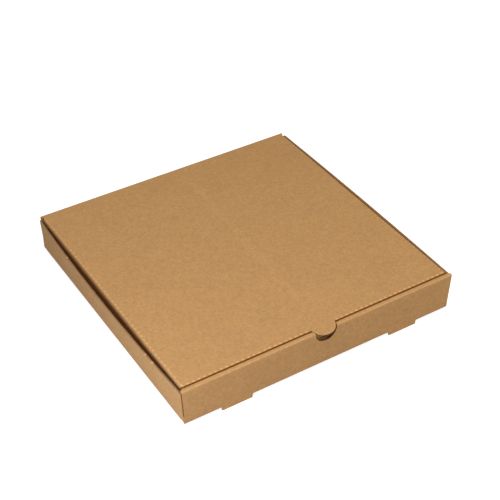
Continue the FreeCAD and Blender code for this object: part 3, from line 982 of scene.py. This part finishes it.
def lid_marks(graph, p, q):
    """The rubbed streak over the lid, its dotted creases with painted highlights, and painted shade in the
    slits round it.
    """
    side = graph.math("ABSOLUTE", p)
    flap = graph.math("SUBTRACT", side, LID_SIDE_CREASE + LID_ARC)
    down = graph.math("SUBTRACT", LID_FRONT_CREASE, q)
    tab_off = distance_from(graph, p, q, (THUMB_X, TAB_Y))
    off_tab = graph.past(tab_off, TAB_RADIUS, TAB_RADIUS + 0.2)
    tab_rim = graph.band(tab_off, TAB_RADIUS - 0.4, 0.4, 0.3)
    below = graph.past(down, 0.2, 0.6)
    # Pale dots along the creases, partly rule marks and partly painted highlight
    side_dot_highlights = crease_dot_highlights(graph, side, LID_SIDE_CREASE + 0.1, 0.5, q)
    front_dot_highlights = crease_dot_highlights(graph, q, LID_FRONT_CREASE + 0.7, 0.9, p)
    changes = [
        rubbed_streak(graph, p, q),
        graph.product(side_dot_highlights, SIDE_DOT_HIGHLIGHT),
        graph.product(front_dot_highlights, off_tab, FRONT_DOT_HIGHLIGHT),
        graph.product(tab_rim, below, TAB_RIM),
    ]
    # Painted shade on the outer face, in the slits between the lid and the tray's front and sides
    outer_face = graph.past(board_depth(graph), 0.7, 0.3)
    front_gap_shade = graph.stretch(down, -0.2, 0.6, 2.5, 4.5)
    side_gap_shade = graph.stretch(flap, 2.0, 8.0, 12.0, 24.0)
    gap_shade = graph.total(graph.product(front_gap_shade, off_tab, FRONT_SLIT_SHADE), graph.product(side_gap_shade, SIDE_SLIT_SHADE))
    return changes, graph.product(gap_shade, outer_face)


def tray_edge_marks(graph, p, q):
    """The nicks, and painted shade over the right half of the notch's cut edge and in the slit at each end of
    the front panel.
    """
    notch_off = distance_from(graph, p, q, (THUMB_X, NOTCH_Q))
    right_half = graph.past(p, THUMB_X, THUMB_X + 5)
    shaded = graph.product(graph.band(notch_off, NOTCH_RADIUS, 1.5, 0.5), right_half)
    at_end = graph.past(graph.math("ABSOLUTE", p), PANEL_HALF - 1.5, PANEL_HALF - 0.8)
    along_end = graph.band(q, front_q(BASE_ARC) - 24, 15, 2)
    # Painted shade on the cut edges, in the notch and in the slits at the front panel's ends
    deep = graph.total(graph.product(at_end, along_end, PANEL_END_SHADE), graph.product(shaded, NOTCH_SHADE))
    return nicks(graph, p, q), deep


def lid_edge_marks(graph, p, q):
    """A pale rim round the thumb tab."""
    tab_off = distance_from(graph, p, q, (THUMB_X, TAB_Y))
    return [graph.product(graph.band(tab_off, TAB_RADIUS - 0.6, 0.6, 0.2), TAB_CUT)], None


def add_camera():
    """Camera at the photograph's place."""
    data = bpy.data.cameras.new("camera")
    data.sensor_width = CAMERA_SENSOR
    data.lens = CAMERA_LENS
    camera = bpy.data.objects.new("camera", data)
    camera.location = CAMERA_PLACE
    camera.rotation_euler = [math.radians(angle) for angle in CAMERA_TURN]
    bpy.context.scene.collection.objects.link(camera)
    bpy.context.scene.camera = camera


def add_light(name, place, size, power, colour):
    """A square area light aimed at the box, unseen by the camera."""
    data = bpy.data.lights.new(name, "AREA")
    data.size = size
    data.energy = power
    data.color = colour
    light = bpy.data.objects.new(name, data)
    light.location = place
    aim = Vector((0, 0, TOP / 2 * MM)) - light.location
    light.rotation_euler = aim.to_track_quat("-Z", "Y").to_euler()
    light.visible_camera = False
    bpy.context.scene.collection.objects.link(light)


def seen_directly(nodes, links):
    """1 for rays from the camera, and for those that a gloss or a clear thing passes on."""
    path = nodes.new("ShaderNodeLightPath")
    share = path.outputs["Is Camera Ray"]
    for name in ("Is Glossy Ray", "Is Transmission Ray"):
        add = nodes.new("ShaderNodeMath")
        add.use_clamp = True
        links.new(share, add.inputs[0])
        links.new(path.outputs[name], add.inputs[1])
        share = add.outputs["Value"]
    return share


def add_floor():
    """Plain floor just under the feet, which glows white where it is seen directly."""
    level = -(FOOT_DROP + FLOOR_GAP) * MM
    corners = [(x * FLOOR_HALF, y * FLOOR_HALF, level) for x, y in ((-1, -1), (1, -1), (1, 1), (-1, 1))]
    mesh = bpy.data.meshes.new("floor")
    mesh.from_pydata(corners, [], [(0, 1, 2, 3)])
    material = bpy.data.materials.new("floor")
    material.use_nodes = True
    nodes, links = material.node_tree.nodes, material.node_tree.links
    shader = nodes["Principled BSDF"]
    shader.inputs["Base Color"].default_value = (FLOOR_GREY, FLOOR_GREY, FLOOR_GREY, 1)
    shader.inputs["Roughness"].default_value = 1
    shader.inputs["Specular IOR Level"].default_value = 0
    shader.inputs["Emission Color"].default_value = (FLOOR_GLOW, FLOOR_GLOW, FLOOR_GLOW, 1)
    links.new(seen_directly(nodes, links), shader.inputs["Emission Strength"])
    mesh.materials.append(material)
    floor = bpy.data.objects.new("floor", mesh)
    bpy.context.scene.collection.objects.link(floor)


def set_world():
    """Faint light from all round, and white where it is seen directly."""
    world = bpy.data.worlds.new("studio")
    world.use_nodes = True
    bpy.context.scene.world = world
    nodes, links = world.node_tree.nodes, world.node_tree.links
    background = nodes["Background"]
    background.inputs["Color"].default_value = (1, 1, 1, 1)
    strength = nodes.new("ShaderNodeMapRange")
    strength.inputs["To Min"].default_value = WORLD_STRENGTH
    strength.inputs["To Max"].default_value = 1
    links.new(seen_directly(nodes, links), strength.inputs["Value"])
    links.new(strength.outputs["Result"], background.inputs["Strength"])


tray_liner = kraft("tray_kraft", 1, tray_marks)
lid_liner = kraft("lid_kraft", 2, lid_marks)
crease_liner = kraft("crease_kraft", 2, no_marks)
tray_core = edge_board("tray_cut", 3, tray_edge_marks)
lid_core = edge_board("lid_cut", 4, lid_edge_marks)
crease_core = edge_board("crease_cut", 4, no_marks)

tray_holes = [notch_outline(), foot_kerf(-1), foot_kerf(1)]
tray_board = (tray_liner, tray_core)
tray_sheet = build_sheet("tray_sheet", tray_outline(), tray_holes, tray_places(), tray_point, tray_board)
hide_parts("tray")
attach(tray_sheet, "tray")

lid_board = (lid_liner, lid_core)
lid_sheet = build_sheet("lid_sheet", lid_outline(), [tab_kerf()], lid_places(), lid_point, lid_board)
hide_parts("lid")
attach(lid_sheet, "lid")

crease_board = (crease_liner, crease_core)
rear_crease = build_sheet("rear_crease", hinge_outline(), [], hinge_places(), hinge_point, crease_board)
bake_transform(rear_crease)

add_camera()
add_floor()
set_world()

# Lamps, as name, place, size, power in watts and colour
add_light("left_panel", (-0.44, -0.25, 0.13), 0.3, 1.15, (0.82, 0.86, 1.0))
add_light("top_panel", (-0.12, -0.25, 0.97), 0.7, 7.1, (1.0, 0.97, 0.92))
add_light("right_panel", (0.9, -1.1, 0.5), 0.6, 6.2, (1.0, 0.955, 0.9))

bpy.context.scene.view_settings.view_transform = "Standard"
